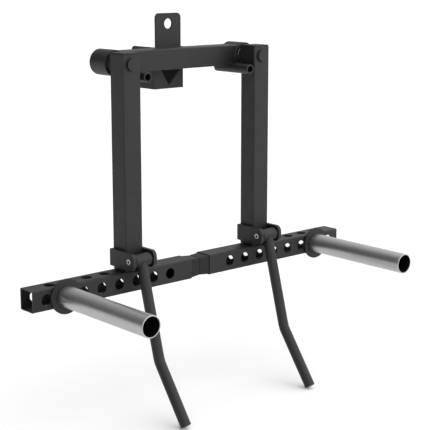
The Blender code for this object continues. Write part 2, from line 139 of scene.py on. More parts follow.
# Weld beads' radii
HOUSING_BEAD = 0.0016
HOUSING_BEAD_SINK = 0.0003        # its middle lies this far inside the beam's front and back
PEG_BEAD = 0.0013
SPINE_BEAD = 0.0018
SIDE_PLATE_BEAD = 0.0016
BAR_BEAD = 0.0015

# Studio
FLOOR_HALF = 60.0
SKY_TOWARDS = (0.56, -0.75, 0.2)  # where the sky is brightest
SKY_SPREAD = (-0.75, 0.85)        # cosines to that direction between which it turns from dark to bright
SKY_DARK = 0.09
SKY_BRIGHT = 2.1
HORIZON = (0.01, 0.03)            # heights between which a white band at the horizon fades out
SUNS = (("key", 0.15, 60.0, (0.35, -0.55, 0.9)), ("fill", 0.10, 90.0, (-0.3, 0.5, 0.9)))
CAMERA_TARGET = (0.07056, -0.1023, -0.40025)
CAMERA_DISTANCE = 3.08007
CAMERA_AZIMUTH = -41.286
CAMERA_ELEVATION = 11.896
CAMERA_LENS = 100.593

SLOT_OF = {part["node"]: part["material_slot"] for part in frame["record"]["subparts"]}


# ---------------------------------------------------------------- materials

def link_noise(tree, vector, scale, detail=2.0, rough=0.5, stretch=None):
    """Noise in object space, at a scale in features per metre; its Fac output."""
    if stretch is not None:
        mapping = tree.nodes.new("ShaderNodeMapping")
        mapping.inputs["Scale"].default_value = stretch
        tree.links.new(vector, mapping.inputs["Vector"])
        vector = mapping.outputs["Vector"]
    noise = tree.nodes.new("ShaderNodeTexNoise")
    noise.inputs["Scale"].default_value = scale
    noise.inputs["Detail"].default_value = detail
    noise.inputs["Roughness"].default_value = rough
    tree.links.new(vector, noise.inputs["Vector"])
    return noise.outputs["Fac"]


def link_range(tree, value, from_range, to_range):
    """Remap a value from one range to another, clamped."""
    node = tree.nodes.new("ShaderNodeMapRange")
    for name, number in zip(("From Min", "From Max", "To Min", "To Max"), (*from_range, *to_range)):
        node.inputs[name].default_value = number
    tree.links.new(value, node.inputs["Value"])
    return node.outputs["Result"]


def link_mix(tree, factor, low, high):
    """Blend two colours; each is an RGB triple or a colour output."""
    node = tree.nodes.new("ShaderNodeMix")
    node.data_type = "RGBA"
    tree.links.new(factor, node.inputs[0])
    for socket, color in ((node.inputs[6], low), (node.inputs[7], high)):
        if isinstance(color, tuple):
            socket.default_value = (*color, 1.0)
        else:
            tree.links.new(color, socket)
    return node.outputs[2]


def link_math(tree, operation, a, b):
    """Arithmetic on two outputs, or on an output and a number."""
    node = tree.nodes.new("ShaderNodeMath")
    node.operation = operation
    for socket, value in zip(node.inputs, (a, b)):
        if isinstance(value, (int, float)):
            socket.default_value = value
        else:
            tree.links.new(value, socket)
    return node.outputs[0]


def link_bump(tree, height, distance, strength=1.0, below=None):
    """Bump of a real height in metres, laid over another normal if one is given."""
    node = tree.nodes.new("ShaderNodeBump")
    node.inputs["Strength"].default_value = strength
    node.inputs["Distance"].default_value = distance
    tree.links.new(height, node.inputs["Height"])
    if below is not None:
        tree.links.new(below, node.inputs["Normal"])
    return node.outputs["Normal"]


def link_edge_mask(tree, radius):
    """1 on the piece's outer and inner edges, 0 on its faces."""
    bevel = tree.nodes.new("ShaderNodeBevel")
    bevel.samples = 4
    bevel.inputs["Radius"].default_value = radius
    geometry = tree.nodes.new("ShaderNodeNewGeometry")
    dot = tree.nodes.new("ShaderNodeVectorMath")
    dot.operation = "DOT_PRODUCT"
    tree.links.new(bevel.outputs["Normal"], dot.inputs[0])
    tree.links.new(geometry.outputs["Normal"], dot.inputs[1])
    return link_range(tree, dot.outputs["Value"], (0.80, 0.99), (1.0, 0.0))


def new_material(name, metallic, specular=0.5):
    """Empty Principled material; returns it with its tree, shader and object coordinates."""
    material = bpy.data.materials.new(name)
    material.use_nodes = True
    tree = material.node_tree
    shader = tree.nodes["Principled BSDF"]
    shader.inputs["Metallic"].default_value = metallic
    shader.inputs["Specular IOR Level"].default_value = specular
    coordinates = tree.nodes.new("ShaderNodeTexCoord").outputs["Object"]
    return material, tree, shader, coordinates


def powder_coat():
    """Satin black powder coat: orange peel, fine grain, faint clouds and edges rubbed lighter."""
    material, tree, shader, where = new_material("satin_powder_coat", 0.0, 0.42)
    clouds = link_noise(tree, where, 14.0, 3.0)
    grain = link_noise(tree, where, 1700.0, 1.0)
    peel = link_noise(tree, where, 520.0, 1.5)
    base = link_mix(tree, link_range(tree, clouds, (0.3, 0.7), (0.0, 1.0)),
                    (0.0028, 0.0028, 0.0029), (0.0050, 0.0050, 0.0051))
    flecks = link_range(tree, grain, (0.55, 0.80), (0.0, 0.5))
    base = link_mix(tree, flecks, base, (0.014, 0.014, 0.0145))
    rubbed = link_math(tree, "MULTIPLY", link_edge_mask(tree, 0.0009),
                       link_range(tree, link_noise(tree, where, 90.0, 3.0), (0.40, 0.66), (0.0, 0.6)))
    base = link_mix(tree, rubbed, base, (0.045, 0.045, 0.046))
    tree.links.new(base, shader.inputs["Base Color"])
    rough = link_range(tree, link_noise(tree, where, 38.0, 2.0), (0.3, 0.7), (0.50, 0.57))
    tree.links.new(rough, shader.inputs["Roughness"])
    normal = link_bump(tree, peel, 0.00006, 0.6)
    tree.links.new(link_bump(tree, grain, 0.00002, 0.5, normal), shader.inputs["Normal"])
    return material


def sleeve_steel():
    """Satin steel tube: drawn lengthwise, with faint scratches from sliding plates and dull mottling."""
    material, tree, shader, where = new_material("drawn_bright_steel", 1.0)
    drawn = link_noise(tree, where, 1.0, 3.0, 0.6, (900.0, 16.0, 900.0))
    scratches = link_noise(tree, where, 1.0, 1.0, 0.5, (2600.0, 34.0, 2600.0))
    mottle = link_noise(tree, where, 160.0, 4.0, 0.65)
    base = link_mix(tree, link_range(tree, mottle, (0.35, 0.65), (0.0, 1.0)),
                    (0.40, 0.40, 0.395), (0.46, 0.46, 0.455))
    base = link_mix(tree, link_range(tree, scratches, (0.68, 0.82), (0.0, 0.4)), base, (0.54, 0.54, 0.53))
    tree.links.new(base, shader.inputs["Base Color"])
    rough = link_math(tree, "ADD", link_range(tree, drawn, (0.3, 0.7), (0.36, 0.40)),
                      link_range(tree, mottle, (0.4, 0.7), (0.0, 0.04)))
    tree.links.new(rough, shader.inputs["Roughness"])
    normal = link_bump(tree, drawn, 0.000003, 0.4)
    tree.links.new(link_bump(tree, mottle, 0.000004, 0.3, normal), shader.inputs["Normal"])
    return material


def plated_steel(name, dark, light, rough_range):
    """Plated or oiled hardware: small crystals, stains and rubbed edges."""
    material, tree, shader, where = new_material(name, 1.0)
    cells = tree.nodes.new("ShaderNodeTexVoronoi")
    cells.inputs["Scale"].default_value = 700.0
    tree.links.new(where, cells.inputs["Vector"])
    stains = link_noise(tree, where, 120.0, 4.0, 0.6)
    base = link_mix(tree, link_range(tree, stains, (0.35, 0.65), (0.0, 1.0)), dark, light)
    bright = tuple(min(1.0, 1.35 * value) for value in light)
    base = link_mix(tree, link_math(tree, "MULTIPLY", link_edge_mask(tree, 0.0005), 0.6), base, bright)
    tree.links.new(base, shader.inputs["Base Color"])
    rough = link_range(tree, cells.outputs["Distance"], (0.0, 0.8), rough_range)
    tree.links.new(rough, shader.inputs["Roughness"])
    normal = link_bump(tree, cells.outputs["Distance"], 0.00002, 0.4)
    tree.links.new(link_bump(tree, stains, 0.00003, 0.4, normal), shader.inputs["Normal"])
    return material


def matt_black(name, specular, depth):
    """Matt black rubber with a fine spark-eroded grain; depth scales its colour, and a depth below 1 gives a
    darker copy that paints shade in hollows.
    """
    material, tree, shader, where = new_material(name, 0.0, specular)
    bloom = link_noise(tree, where, 60.0, 4.0, 0.6)
    grain = link_noise(tree, where, 1300.0, 2.0)
    base = link_mix(tree, link_range(tree, bloom, (0.3, 0.7), (0.0, 1.0)),
                    (0.0080 * depth,) * 3, (0.0120 * depth,) * 3)
    tree.links.new(base, shader.inputs["Base Color"])
    tree.links.new(link_range(tree, bloom, (0.3, 0.7), (0.50, 0.62)), shader.inputs["Roughness"])
    tree.links.new(link_bump(tree, grain, 0.00004, 0.6), shader.inputs["Normal"])
    return material


def floor_paint():
    """Plain pale floor with the faintest unevenness."""
    material, tree, shader, where = new_material("pale_floor", 0.0, 0.2)
    tone = link_noise(tree, where, 0.8, 3.0)
    base = link_mix(tree, link_range(tree, tone, (0.3, 0.7), (0.0, 1.0)),
                    (0.890, 0.890, 0.890), (0.900, 0.900, 0.900))
    tree.links.new(base, shader.inputs["Base Color"])
    shader.inputs["Roughness"].default_value = 0.9
    return material


FINISHES = {
    "powder_coat": powder_coat(),
    "sleeve_steel": sleeve_steel(),
    "zinc_hardware": plated_steel("zinc_plate", (0.50, 0.50, 0.49), (0.60, 0.60, 0.59), (0.28, 0.38)),
    "bearing_steel": plated_steel("bearing_steel", (0.42, 0.42, 0.42), (0.55, 0.55, 0.55), (0.26, 0.40)),
    "black_rubber": matt_black("moulded_rubber", 0.22, 1.0),
    # painted shade: a darker, duller copy of the rubber, for sheets put in hollows to darken them
    "painted_shade_black": matt_black("painted_shade_black", 0.06, 0.4),
}


# ---------------------------------------------------------------- mesh tools

def along(axis, u, v, distance):
    """Point at distance along an axis, with u and v across it."""
    return {"X": (distance, u, v), "Y": (u, distance, v), "Z": (u, v, distance)}[axis]


def circle(radius, segments, center=(0.0, 0.0)):
    """Outline of a circle."""
    return [(center[0] + radius * math.cos(2 * math.pi * i / segments),
             center[1] + radius * math.sin(2 * math.pi * i / segments)) for i in range(segments)]


def arc(center, radius, start, end, steps):
    """Points of an arc, angles in degrees."""
    angles = [math.radians(start + (end - start) * i / steps) for i in range(steps + 1)]
    return [(center[0] + radius * math.cos(a), center[1] + radius * math.sin(a)) for a in angles]


def rounded_square(size, radius, center=(0.0, 0.0), steps=7):
    """Outline of a square with round corners."""
    reach = size / 2 - radius
    points = []
    for corner, (u, v) in enumerate(((1, 1), (-1, 1), (-1, -1), (1, -1))):
        points += arc((center[0] + u * reach, center[1] + v * reach), radius,
                      90 * corner, 90 * corner + 90, steps)
    return points


def bridge(bm, a, b):
    """Band of quads between two closed rings of the same length."""
    for i in range(len(a)):
        j = (i + 1) % len(a)
        bm.faces.new((a[i], a[j], b[j], b[i]))


def skin(bm, rings):
    """Bands between successive rings."""
    for a, b in zip(rings, rings[1:]):
        bridge(bm, a, b)


def close_ends(bm, rings):
    """Flat caps on the first and the last ring."""
    bm.faces.new(rings[0][::-1])
    bm.faces.new(rings[-1])


def loft(axis, sections, hollow=False):
    """Skin through outlines given as (outline, distance): capped, or joined end to start."""
    bm = bmesh.new()
    rings = [[bm.verts.new(along(axis, u, v, distance)) for u, v in outline]
             for outline, distance in sections]
    skin(bm, rings)
    if hollow:
        bridge(bm, rings[-1], rings[0])
    else:
        close_ends(bm, rings)
    return bm


def prism(axis, outline, start, end):
    """Solid of constant outline."""
    return loft(axis, [(outline, start), (outline, end)])


def square_tube(axis, start, end, size, center):
    """Length of square tube with round corners."""
    outer = rounded_square(size, TUBE_CORNER, center)
    inner = rounded_square(size - 2 * TUBE_WALL, TUBE_CORNER - TUBE_WALL, center)
    return loft(axis, [(outer, start), (outer, end), (inner, end), (inner, start)], hollow=True)


def turned(axis, center, profile, hollow=False, segments=64):
    """Lathe part from (radius, distance) pairs: a solid, or a ring if the profile is a loop."""
    return loft(axis, [(circle(radius, segments, center), distance) for radius, distance in profile], hollow)


def rounded_ring(inner, outer, start, end, edge):
    """Profile of a ring with its four rims broken."""
    step = math.copysign(edge, end - start)
    return [(inner + edge, start), (outer - edge, start), (outer, start + step), (outer, end - step),
            (outer - edge, end), (inner + edge, end), (inner, end - step), (inner, start + step)]


def threaded_rod(axis, center, radius, start, end, pitch, depth, segments=48):
    """Rod with a helical thread and a chamfered far end."""
    bm = bmesh.new()
    way = math.copysign(1.0, end - start)
    length = abs(end - start)
    count = max(2, round(length / pitch * 6))
    rings = []
    for n in range(count + 1):
        travel = length * n / count
        remaining = length - travel
        ring = []
        for k in range(segments):
            phase = (travel / pitch + k / segments) % 1.0
            groove = depth * (1.0 - abs(2.0 * phase - 1.0))
            r = min(radius - groove, radius - depth + remaining)
            angle = 2 * math.pi * k / segments
            ring.append(bm.verts.new(along(axis, center[0] + r * math.cos(angle),
                                           center[1] + r * math.sin(angle), start + way * travel)))
        rings.append(ring)
    skin(bm, rings)
    close_ends(bm, rings)
    return bm


def swept(points, radii, segments=32):
    """Round bar through points, with a radius at each; the path stays in one plane across X."""
    bm = bmesh.new()
    rings = []
    for i, point in enumerate(points):
        ahead = points[min(i + 1, len(points) - 1)] - points[max(i - 1, 0)]
        ahead.normalize()
        across = Vector((0.0, ahead.z, -ahead.y))
        rings.append([bm.verts.new(point + Vector((math.cos(a), 0.0, 0.0)) * radii[i]
                                   + across * (radii[i] * math.sin(a)))
                      for a in (2 * math.pi * k / segments for k in range(segments))])
    skin(bm, rings)
    close_ends(bm, rings)
    return bm


def evenly(points, step, closed):
    """Points at about equal steps along a polyline."""
    chain = [Vector(p) for p in points]
    if closed:
        chain.append(chain[0])
    lengths = [(b - a).length for a, b in zip(chain, chain[1:])]
    total = sum(lengths)
    count = max(3, round(total / step))
    result, index, passed = [], 0, 0.0
    for n in range(count if closed else count + 1):
        goal = total * n / count
        while index < len(lengths) - 1 and passed + lengths[index] < goal:
            passed += lengths[index]
            index += 1
        share = (goal - passed) / lengths[index]
        result.append(chain[index].lerp(chain[index + 1], min(1.0, share)))
    return result


def weld_bead(points, radius, closed=False, ripple=0.0022, sides=10):
    """Weld bead along a seam: a round worm with overlapping ripples."""
    path = evenly(points, ripple / 4, closed)
    count = len(path)
    bm = bmesh.new()
    rings = []
    side = None
    for i, point in enumerate(path):
        before = path[i - 1] if closed or i > 0 else path[i]
        after = path[(i + 1) % count] if closed or i < count - 1 else path[i]
        ahead = (after - before).normalized()
        if side is None:
            side = ahead.orthogonal().normalized()
        side = (side - ahead * side.dot(ahead)).normalized()
        other = ahead.cross(side)
        wave = 1.0 + 0.10 * math.sin(math.pi * i / 2) + 0.05 * math.sin(0.37 * i)
        if not closed:
            wave *= min(1.0, 0.45 + 0.2 * min(i, count - 1 - i))
        rings.append([bm.verts.new(point + (side * math.cos(a) + other * math.sin(a)) * (radius * wave))
                      for a in (2 * math.pi * k / sides for k in range(sides))])
    skin(bm, rings)
    if closed:
        first = min(range(sides), key=lambda s: (rings[-1][0].co - rings[0][s].co).length)
        bridge(bm, rings[-1], rings[0][first:] + rings[0][:first])
    else:
        close_ends(bm, rings)
    return bm


def merge(bm, other):
    """Add another mesh's solids to bm."""
    mesh = bpy.data.meshes.new("merge")
    bmesh.ops.recalc_face_normals(other, faces=other.faces)
    other.to_mesh(mesh)
    other.free()
    bm.from_mesh(mesh)
    bpy.data.meshes.remove(mesh)


def new_object(name, bm):
    """Turn bm into an object of the scene, with its faces pointing out."""
    bmesh.ops.recalc_face_normals(bm, faces=bm.faces)
    mesh = bpy.data.meshes.new(name)
    bm.to_mesh(mesh)
    bm.free()
    obj = bpy.data.objects.new(name, mesh)
    bpy.context.scene.collection.objects.link(obj)
    return obj


def apply_modifiers(obj):
    """Replace the mesh by its evaluated shape."""
    bpy.context.view_layer.update()
    evaluated = obj.evaluated_get(bpy.context.evaluated_depsgraph_get())
    result = bpy.data.meshes.new_from_object(evaluated)
    obj.modifiers.clear()
    old, obj.data = obj.data, result
    bpy.data.meshes.remove(old)


def combine(obj, bm, operation="DIFFERENCE"):
    """Cut a solid away from the object, or keep only what both share."""
    tool = new_object("tool", bm)
    modifier = obj.modifiers.new("combine", "BOOLEAN")
    modifier.operation, modifier.solver, modifier.object = operation, "EXACT", tool
    apply_modifiers(obj)
    mesh = tool.data
    bpy.data.objects.remove(tool)
    bpy.data.meshes.remove(mesh)


def add_piece(name, bm, slot, body, nodes=(), cuts=(), keep=None, edge=0.0, finish=None):
    """Finish a piece: cut it, break its edges, shade it and hang it on its body.

    finish names the material where it isn't the slot's own one.
    """
    obj = new_object(name, bm)
    for cutter in cuts:
        combine(obj, cutter)
    if keep is not None:
        combine(obj, keep, "INTERSECT")
    if edge:
        modifier = obj.modifiers.new("edges", "BEVEL")
        modifier.width, modifier.segments = edge, 2
        modifier.limit_method, modifier.angle_limit = "ANGLE", math.radians(40)
        apply_modifiers(obj)
    obj.data.materials.clear()
    obj.data.materials.append(FINISHES[finish or slot])
    obj.data.shade_smooth()
    obj.data.set_sharp_from_angle(angle=math.radians(38))
    normals = obj.modifiers.new("normals", "WEIGHTED_NORMAL")
    normals.keep_sharp = True
    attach(obj, body)
    if nodes:
        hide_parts(*nodes)


def detail(node, bm, **options):
    """Piece that stands for one CAD node, on that node's body and with its finish."""
    add_piece(f"{node}_detail", bm, SLOT_OF[node], frame["nodes"][node]["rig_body"], (node,), **options)


def span(node):
    """Lowest corner, highest corner and middle of a CAD node."""
    low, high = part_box(node)
    return low, high, (low + high) / 2


def round_node(node, axis="Y"):
    """Centre and half width, across the axis, of a CAD node that is round or hexagonal about it."""
    low, high, mid = span(node)
    if axis == "X":
        return (mid.y, mid.z), (high.y - low.y) / 2
    return (mid.x, mid.z), (high.x - low.x) / 2


def hex_nut(node, axis, bore):
    """Hexagon nut with turned corners and a chamfered bore."""
    center, outer = round_node(node, axis)
    start, end = (corner["XYZ".index(axis)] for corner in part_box(node))
    chamfer, lead = outer * 0.085, 0.0008
    blank = turned(axis, center, [(outer * 0.90, start), (outer * 1.02, start + chamfer),
                                  (outer * 1.02, end - chamfer), (outer * 0.90, end)])
    thread = turned(axis, center, [(bore + 2 * lead, start - lead), (bore, start + lead),
                                   (bore, end - lead), (bore + 2 * lead, end + lead)], segments=48)
    detail(node, prism(axis, circle(outer, 6, center), start, end), keep=blank, cuts=[thread])


# ---------------------------------------------------------------- fixed frame

def build_beam():
    """Beam between the housings, coped around them and the pegs, and its weld beads."""
    low, high, mid = span("top_beam")
    size = high.z - low.z
    arm_x = span("right_arm_tube")[2].x
    cuts = []
    for _, label in SIDES:
        for node, segments in ((f"{label}_pivot_housing", 72), (f"{label}_stop_peg", 48)):
            center, radius = round_node(node)
            cuts.append(prism("Y", circle(radius, segments, center), -0.1, 0.05))
    detail("top_beam", square_tube("X", -arm_x, arm_x, size, (mid.y, mid.z)), cuts=cuts)

    for side, label in SIDES:
        center, radius = round_node(f"{label}_pivot_housing")
        angle = math.degrees(math.asin((size / 2 - 0.001) / radius))
        start, end = (180 - angle, 180 + angle) if side > 0 else (angle, -angle)
        front = [(x, low.y + HOUSING_BEAD_SINK, z) for x, z in arc(center, radius, start, end, 16)]
        back = [(x, high.y - HOUSING_BEAD_SINK, z) for x, _, z in reversed(front)]
        bead = weld_bead(front + back, HOUSING_BEAD, closed=True)
        add_piece(f"{label}_housing_weld", bead, "powder_coat", "frame")

        center, radius = round_node(f"{label}_stop_peg")
        drop = low.z - center[1]
        half = math.sqrt(radius ** 2 - drop ** 2)
        angle = math.degrees(math.asin(drop / radius))
        seam = [(x, low.y, z) for x, z in arc(center, radius, angle, 180 - angle, 12)]
        seam.insert(0, (center[0] + half, high.y - 0.002, low.z))
        seam.append((center[0] - half, high.y - 0.002, low.z))
        add_piece(f"{label}_peg_weld", weld_bead(seam, PEG_BEAD), "powder_coat", "frame")


def build_bracket():
    """Spine plate with the tab and the notch, side plates, their weld beads, and very dark sheets that paint
    the shade inside the channel.
    """
    low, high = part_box("bracket_spine_plate")
    half, tab = high.x, TAB_WIDTH / 2
    outline = [(-half, low.z), (half, low.z), (half, SHOULDER_Z), (tab, SHOULDER_Z)]
    outline += arc((tab - TAB_CORNER, high.z - TAB_CORNER), TAB_CORNER, 0, 90, 10)
    outline += arc((TAB_CORNER - tab, high.z - TAB_CORNER), TAB_CORNER, 90, 180, 10)
    outline += [(-tab, SHOULDER_Z), (-half, SHOULDER_Z)]
    hole = prism("Y", circle(TAB_HOLE_RADIUS, 64, (0.0, TAB_HOLE_Z)), -0.05, 0.05)
    detail("bracket_spine_plate", prism("Y", outline, low.y, high.y),
           cuts=[hole, prism("Y", NOTCH, -0.05, 0.05)], edge=EDGE)

    beam_low, beam_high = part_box("top_beam")
    for name, reach, height in (("tab", tab, beam_high.z - 0.0010),
                                ("spine_foot", half, beam_low.z + 0.0010)):
        seam = [(x, low.y - 0.0008, height) for x in (-reach + 0.002, reach - 0.002)]
        add_piece(f"{name}_weld", weld_bead(seam, SPINE_BEAD), "powder_coat", "frame")

    for side, label in SIDES:
        node = f"bracket_{label}_side_plate"
        low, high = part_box(node)
        r = SIDE_PLATE_CORNER
        outline = [(low.y, low.z), (high.y, low.z)] + arc((high.y - r, high.z - r), r, 0, 90, 10)
        outline.append((low.y, high.z))
        detail(node, prism("X", outline, low.x, high.x), edge=EDGE)

        inner = low.x if side > 0 else high.x
        seam = [(inner, low.y + 0.0004, z) for z in (low.z + 0.004, high.z - 0.004)]
        add_piece(f"{label}_side_plate_weld", weld_bead(seam, SIDE_PLATE_BEAD), "powder_coat", "frame")

        front, back = low.y + SHADE_SHEET_MARGIN, high.y - SHADE_SHEET_MARGIN
        foot, top = low.z + SHADE_SHEET_MARGIN, high.z - SHADE_SHEET_MARGIN
        outline = [(front, foot), (back, foot), (back, high.z - r), (high.y - r, top), (front, top)]
        # painted shade: a very dark sheet on the side plate's inner face darkens the channel
        shade_sheet = prism("X", outline, inner - side * SHADE_SHEET_THICKNESS, inner + side * 0.0001)
        add_piece(f"bracket_{label}_pad", shade_sheet, "black_rubber", "frame", edge=0.0004, finish="painted_shade_black")


def build_pivot_mount(label):
    """Housing with its two bearings, and the peg that stops the arm."""
    node = f"{label}_pivot_housing"
    low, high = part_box(node)
    center, radius = round_node(node)
    ring = rounded_ring(HOUSING_BORE, radius, low.y, high.y, 0.0008)
    detail(node, turned("Y", center, ring, True, 96))

    for place, outward in (("front", -1), ("rear", 1)):
        node = f"{label}_{place}_bearing"
        low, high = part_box(node)
        outer, inner = (high.x - low.x) / 2, SHAFT_RADIUS + GAP
        face, back = (low.y, high.y) if outward < 0 else (high.y, low.y)
        sink = -outward * 0.0008
        profile = [(inner, back), (inner, face), (inner + 0.0028, face), (inner + 0.0032, face + sink),
                   (outer - 0.0036, face + sink), (outer - 0.0032, face), (outer - 0.0006, face),
                   (outer, face - outward * 0.0006), (outer, back)]
        detail(node, turned("Y", center, profile, True))

    node = f"{label}_stop_peg"
    low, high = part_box(node)
    center, radius = round_node(node)
    detail(node, turned("Y", center, rounded_ring(PEG_BORE, radius, low.y, high.y, 0.0007), True))


# ---------------------------------------------------------------- swinging arms

def build_pivot_shaft(label):
    """Round-headed shaft, the stepped spacer behind the arm and the rear nut."""
    nut = f"{label}_pivot_nut"
    node = f"{label}_pivot_shaft"
    low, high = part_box(node)
    center, head = round_node(node)
    thread_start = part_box(nut)[0].y - 0.001
    profile = [(head - 0.0010, low.y), (head - 0.0004, low.y + 0.0002), (head, low.y + 0.0008),
               (head, SHAFT_HEAD_BACK_Y), (SHAFT_RADIUS, SHAFT_HEAD_BACK_Y),
               (SHAFT_RADIUS, thread_start)]
    bm = turned("Y", center, profile)
    merge(bm, threaded_rod("Y", center, SHAFT_RADIUS, thread_start, high.y, 0.0020, 0.0010))
    detail(node, bm)

    node = f"{label}_pivot_spacer"
    low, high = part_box(node)
    bore, collar = SHAFT_RADIUS + GAP, (high.x - low.x) / 2
    profile = [(bore, low.y), (collar - 0.0008, low.y), (collar, low.y + 0.0008),
               (collar, SPACER_COLLAR_BACK_Y - 0.0008), (collar - 0.0008, SPACER_COLLAR_BACK_Y),
               (SPACER_HUB_RADIUS, SPACER_COLLAR_BACK_Y), (SPACER_HUB_RADIUS, high.y), (bore, high.y)]
    detail(node, turned("Y", center, profile, True))
    hex_nut(nut, "Y", bore)


def build_arm(label):
    """Vertical tube and the cap pushed into its top."""
    low, high, mid = span(f"{label}_arm_tube")
    size = high.x - low.x
    tube = square_tube("Z", low.z, high.z, size, (mid.x, mid.y))
    bore = prism("Y", circle(SHAFT_RADIUS + GAP, 48, (mid.x, 0.0)), -0.2, 0.0)
    detail(f"{label}_arm_tube", tube, cuts=[bore], edge=EDGE)

    seat = high.z + GAP
    low, high, mid = span(f"{label}_arm_cap")
    center, cap = (mid.x, mid.y), high.x - low.x
    plug = size - 2 * TUBE_WALL - 2 * GAP
    sections = [(rounded_square(plug, 0.001, center), low.z), (rounded_square(plug, 0.001, center), seat),
                (rounded_square(cap, 0.0035, center), seat),
                (rounded_square(cap, 0.0035, center), high.z - 0.0012),
                (rounded_square(cap - 0.0006, 0.0033, center), high.z - 0.0005),
                (rounded_square(cap - 0.0022, 0.0026, center), high.z)]
    detail(f"{label}_arm_cap", loft("Z", sections))


def build_crossbar_half(side, label):
    """Perforated square tube, and the tapered nose in its inner end."""
    low, high, mid = span(f"{label}_crossbar_half")
    center = (mid.y, mid.z)
    front = [prism("Y", circle(HOLE_RADIUS, 48, (side * (FIRST_HOLE_X + k * HOLE_PITCH), mid.z)),
                   mid.y - 0.04, mid.y + 0.04) for k in range(FRONT_HOLES)]
    top = [prism("Z", circle(HOLE_RADIUS, 48, (side * (FIRST_TOP_HOLE_X + k * HOLE_PITCH), mid.y)),
                 mid.z - 0.04, mid.z + 0.04) for k in range(TOP_HOLES)]
    detail(f"{label}_crossbar_half", square_tube("X", low.x, high.x, high.z - low.z, center),
           cuts=front + top, edge=EDGE)

    nose_low, nose_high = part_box(f"{label}_nose")
    tip, stub_end = (nose_low.x, nose_high.x) if side > 0 else (nose_high.x, nose_low.x)
    base = low.x - GAP if side > 0 else high.x + GAP
    stub = high.z - low.z - 2 * TUBE_WALL - 2 * GAP
    round_tip = 0.0012
    sections = [(rounded_square(NOSE_TIP - 2 * round_tip, 0.0022, center), tip),
                (rounded_square(NOSE_TIP - 0.0007, 0.0030, center), tip + side * 0.0004),
                (rounded_square(NOSE_TIP, 0.0034, center), tip + side * round_tip),
                (rounded_square(NOSE_BASE, 0.0036, center), base - side * 0.0010),
                (rounded_square(NOSE_BASE - 0.0008, 0.0034, center), base),
                (rounded_square(stub, 0.001, center), base),
                (rounded_square(stub, 0.001, center), stub_end)]
    detail(f"{label}_nose", loft("X", sections))


def build_sleeve(label):
    """Flange, open tube with rounded rims, and a very dark sheet in its bore that paints the shade there."""
    flange, sleeve = f"{label}_sleeve_flange", f"{label}_weight_sleeve"
    center, radius = round_node(sleeve)
    low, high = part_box(flange)
    ring = rounded_ring(radius + GAP, (high.x - low.x) / 2, low.y, high.y, 0.0007)
    detail(flange, turned("Y", center, ring, True, 96))
    end, root = (corner.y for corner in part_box(sleeve))
    profile = [(radius, root), (radius, end + 0.0012), (radius - 0.0003, end + 0.0004),
               (radius - 0.0009, end), (SLEEVE_BORE + 0.0007, end), (SLEEVE_BORE + 0.0002, end + 0.0003),
               (SLEEVE_BORE, end + 0.0009), (SLEEVE_BORE, root)]
    detail(sleeve, turned("Y", center, profile, True, 96))
    # painted shade: a very dark sheet just inside the bore darkens it
    profile = [(SLEEVE_BORE - 0.0003, end + 0.0018), (SLEEVE_BORE - 0.0001, end + 0.0014),
               (SLEEVE_BORE - 0.0001, root), (SLEEVE_BORE - 0.0003, root)]
    bore_shade = turned("Y", center, profile, True, 96)
    add_piece(f"{label}_sleeve_bore_shade", bore_shade, "black_rubber", f"{label}_arm", finish="painted_shade_black")


def clevis_outline(low, high):
    """Side view of a clevis plate: large round corners at the front, small ones at the back."""
    front, back = CLEVIS_FRONT_CORNER, CLEVIS_BACK_CORNER
    outline = arc((high.y - back, low.z + back), back, 270, 360, 5)
    outline += arc((high.y - back, high.z - back), back, 0, 90, 5)
    outline += arc((low.y + front, high.z - front), front, 90, 180, 14)
    return outline + arc((low.y + front, low.z + front), front, 180, 270, 14)


def build_clevis(label):
    """The two plates, the handle's stop, and the bolt, washer and nut of its hinge."""
    hinge = (HINGE_Y, HINGE_Z)
    bolt_bore = BOLT_RADIUS + GAP
    for place in ("outer", "inner"):
        node = f"{label}_{place}_clevis_plate"
        low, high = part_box(node)
        bore = prism("X", circle(bolt_bore, 40, hinge), low.x - 0.01, high.x + 0.01)
        detail(node, prism("X", clevis_outline(low, high), low.x, high.x), cuts=[bore], edge=EDGE)

    node = f"{label}_hinge_washer"
    low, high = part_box(node)
    ring = rounded_ring(bolt_bore, (high.y - low.y) / 2, low.x, high.x, 0.0003)
    detail(node, turned("X", hinge, ring, True))

    node = f"{label}_hinge_bolt"
    top, tip = (corner.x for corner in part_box(node))
    under = top + BOLT_HEAD_HEIGHT
    thread_end = tip - THREAD_LENGTH
    head = BOLT_HEAD_RADIUS
    bm = turned("X", hinge, [(BOLT_RADIUS, thread_end), (BOLT_RADIUS, under), (head - 0.0002, under),
                             (head, under - 0.0003), (head, top + 0.0007),
                             (head - 0.0002, top + 0.0002), (head - 0.0006, top)])
    merge(bm, threaded_rod("X", hinge, BOLT_RADIUS, thread_end, tip, 0.00175, 0.0009))
    socket_end = top + SOCKET_DEPTH
    detail(node, bm, cuts=[prism("X", circle(SOCKET_RADIUS, 6, hinge), top - 0.01, socket_end)])
    # painted shade: a black disc in the socket makes the hole read dark
    plug = turned("X", hinge, [(SOCKET_SHADE_RADIUS, socket_end), (SOCKET_SHADE_RADIUS, top + SOCKET_SHADE_SINK)])
    add_piece(f"{label}_bolt_socket_shade", plug, "black_rubber", f"{label}_arm", finish="painted_shade_black")
    hex_nut(f"{label}_hinge_nut", "X", bolt_bore)

    node = f"{label}_handle_stop"
    low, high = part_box(node)
    outline = [(low.x, low.y), (high.x, low.y), (high.x, high.y), (low.x, high.y)]
    detail(node, prism("Z", outline, low.z, high.z), edge=0.0010)


# ---------------------------------------------------------------- handles

